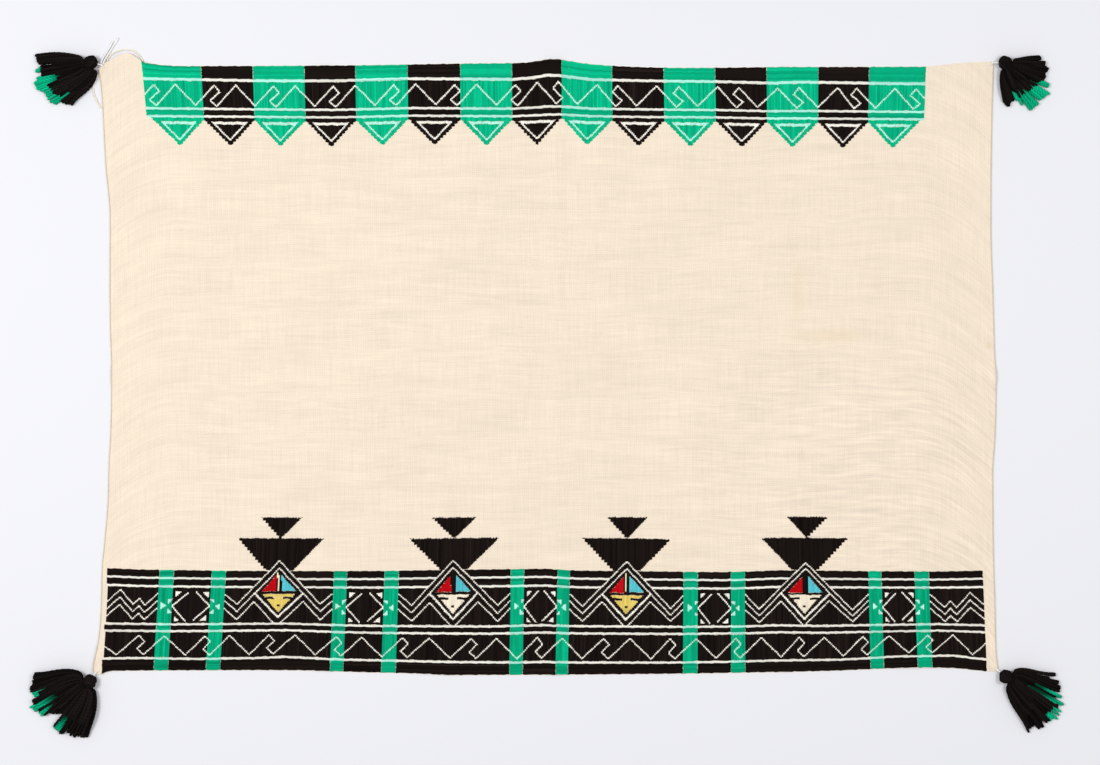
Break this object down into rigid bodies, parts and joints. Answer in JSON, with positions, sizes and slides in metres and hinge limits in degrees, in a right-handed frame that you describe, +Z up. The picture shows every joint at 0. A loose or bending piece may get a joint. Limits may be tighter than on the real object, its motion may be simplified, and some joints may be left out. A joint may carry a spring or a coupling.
{
  "type": "embroidered manta",
  "caption": "Rectangular woven cotton shawl lying flat, with an embroidered border along both long edges and a wool tassel tied to each corner.",
  "frame": {"origin": "on the surface it lies on, under the middle of the box that holds the cloth and its four tassels", "axes": "+X runs along the long edges, +Y points to the narrow embroidered border, +Z points up from the face of the cloth"},
  "size_m": [1.7008, 1.1495, 0.0191],
  "materials": {
    "cotton": "plain woven cotton, unbleached, dry and matt",
    "wool_black": "plied wool yarn, black, matt",
    "wool_green": "plied wool yarn, green, soft sheen",
    "wool_red": "plied wool yarn, red",
    "wool_turquoise": "plied wool yarn, turquoise",
    "wool_yellow": "plied wool yarn, pale yellow",
    "cord": "twisted cotton cord, undyed"
  },
  "bodies": {
    "root": {"cloth": "cotton", "tassel_top_left": "wool_black", "tassel_top_right": "wool_black", "tassel_bottom_left": "wool_black", "tassel_bottom_right": "wool_black", "tie_top_left": "cord", "tie_top_right": "cord", "tie_bottom_left": "cord", "tie_bottom_right": "cord", "tie_end_long": "cord", "tie_end_short": "cord", "edge_cord_top": "cord", "edge_cord_left": "cord"}
  },
  "joints": []
}
